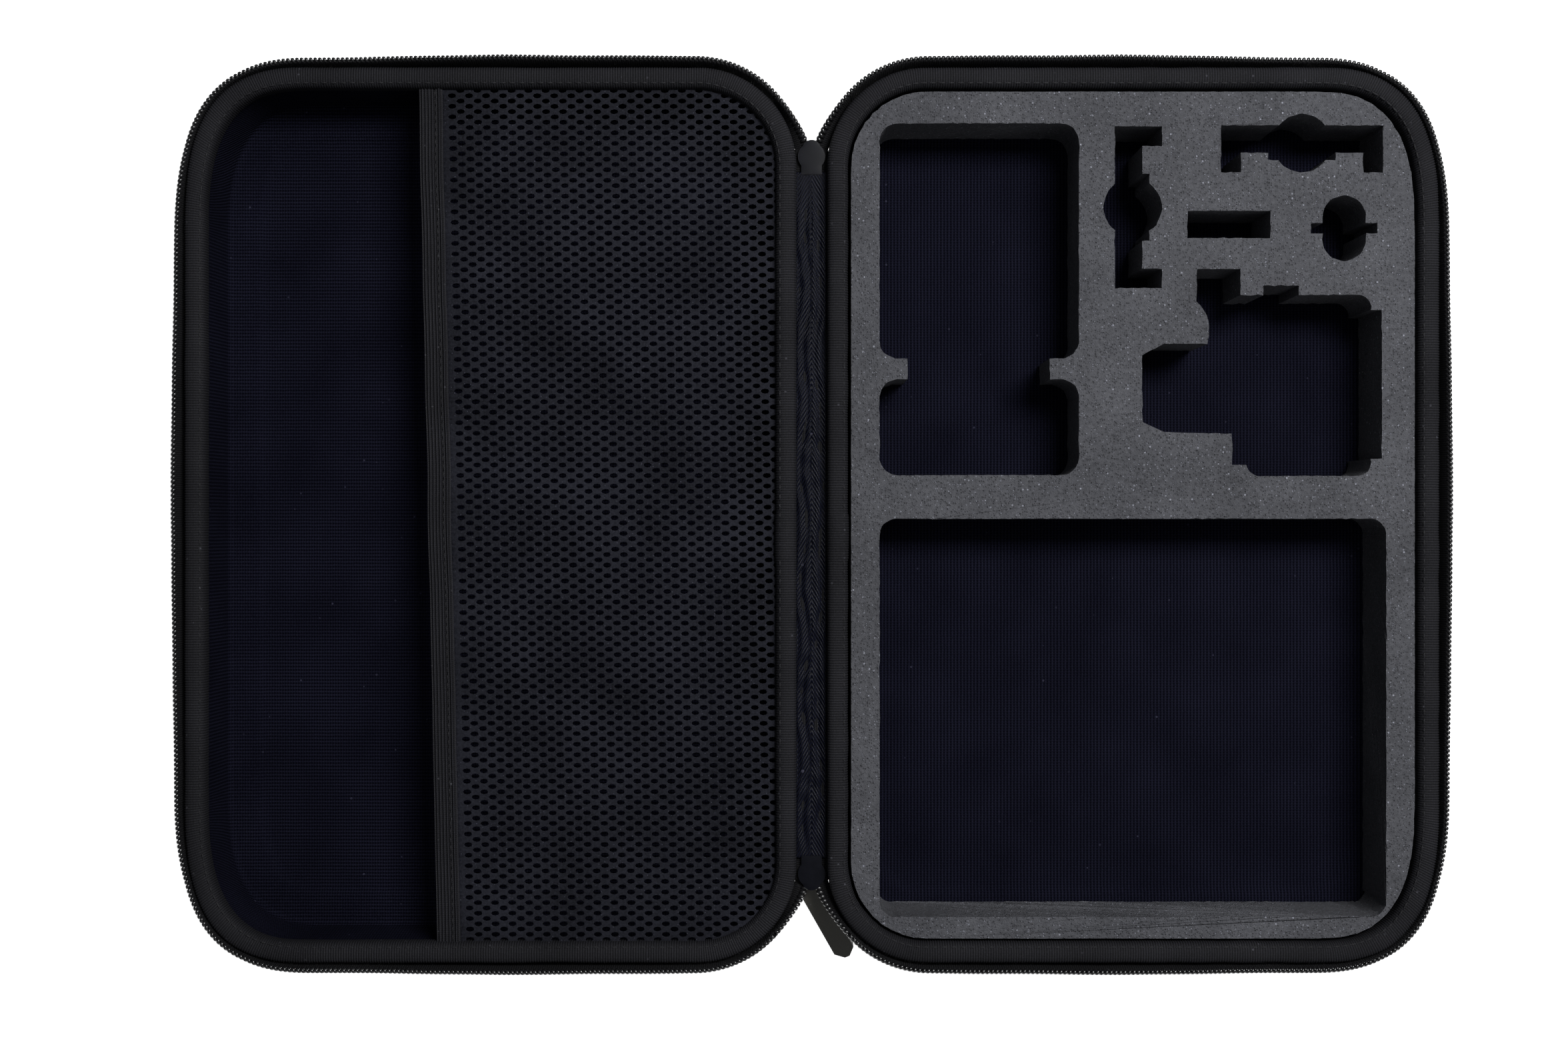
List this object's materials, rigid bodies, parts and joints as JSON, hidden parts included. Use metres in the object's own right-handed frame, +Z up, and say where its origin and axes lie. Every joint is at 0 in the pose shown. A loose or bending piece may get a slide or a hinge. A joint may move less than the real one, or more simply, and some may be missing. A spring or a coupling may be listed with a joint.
{
  "type": "zipped hard carrying case",
  "caption": "Moulded hard carrying case that opens flat like a book, with a cut foam insert in the base, a mesh pocket in the lid and a coil zip.",
  "frame": {"origin": "centre of the base tray's flat underside, which rests on the table", "axes": "+X from the spine to the base's opening side, +Y along the spine towards the head, +Z up out of the open trays"},
  "size_m": [0.4612, 0.3311, 0.0364],
  "materials": {
    "cover_fabric": "matte",
    "moulded_eva": "matte",
    "knit_lining": "matte",
    "grosgrain_binding": "matte",
    "zip_tape": "matte",
    "zip_coil": "satin",
    "insert_foam": "matte",
    "mesh_net": "matte",
    "elastic_band": "matte",
    "satin_strip": "satin",
    "slider_enamel": "gloss",
    "link_metal": "satin",
    "pull_rubber": "satin"
  },
  "bodies": {
    "base": {"base_cover": "cover_fabric", "base_shell": "moulded_eva", "base_lining": "knit_lining", "base_binding": "grosgrain_binding", "base_zip_tape": "zip_tape", "base_zip_coil": "zip_coil", "foam_insert": "insert_foam"},
    "spine": {"spine_lining": "satin_strip", "spine_cover": "cover_fabric", "head_slider": "slider_enamel", "foot_slider": "slider_enamel"},
    "lid": {"lid_cover": "cover_fabric", "lid_shell": "moulded_eva", "lid_lining": "knit_lining", "lid_binding": "grosgrain_binding", "lid_zip_tape": "zip_tape", "lid_zip_coil": "zip_coil", "mesh_pocket": "mesh_net", "pocket_elastic": "elastic_band"},
    "head_link": {"head_pull_link": "link_metal"},
    "head_tab": {"head_pull_tab": "pull_rubber"},
    "foot_link": {"foot_pull_link": "link_metal"},
    "foot_tab": {"foot_pull_tab": "pull_rubber"}
  },
  "joints": [
    {"name": "spine_fold", "type": "hinge", "parent": "base", "child": "spine", "pos_m": [-0.111, 0, 0.031], "axis": [0, 1, 0], "range_deg": [0, 90]},
    {"name": "lid_fold", "type": "hinge", "parent": "spine", "child": "lid", "pos_m": [-0.1222, 0, 0.031], "axis": [0, 1, 0], "range_deg": [0, 90]},
    {"name": "head_pull_swing", "type": "hinge", "parent": "spine", "child": "head_link", "pos_m": [-0.1166, 0.1305, 0.02565], "axis": [1, 0, 0], "range_deg": [-14, 150]},
    {"name": "head_tab_turn", "type": "hinge", "parent": "head_link", "child": "head_tab", "pos_m": [-0.1166, 0.12215, 0.02228], "axis": [0, 0.3746, -0.9272], "range_deg": [-6, 6]},
    {"name": "foot_pull_swing", "type": "hinge", "parent": "spine", "child": "foot_link", "pos_m": [-0.1166, -0.1305, 0.02565], "axis": [1, 0, 0], "range_deg": [-14, 59]},
    {"name": "foot_tab_turn", "type": "hinge", "parent": "foot_link", "child": "foot_tab", "pos_m": [-0.1166, -0.13884, 0.02228], "axis": [0, 0.3746, -0.9272], "range_deg": [-2, 54]}
  ],
  "couplings": [
    {"joint": "spine_fold", "follows": "lid_fold", "ratio": 1}
  ]
}
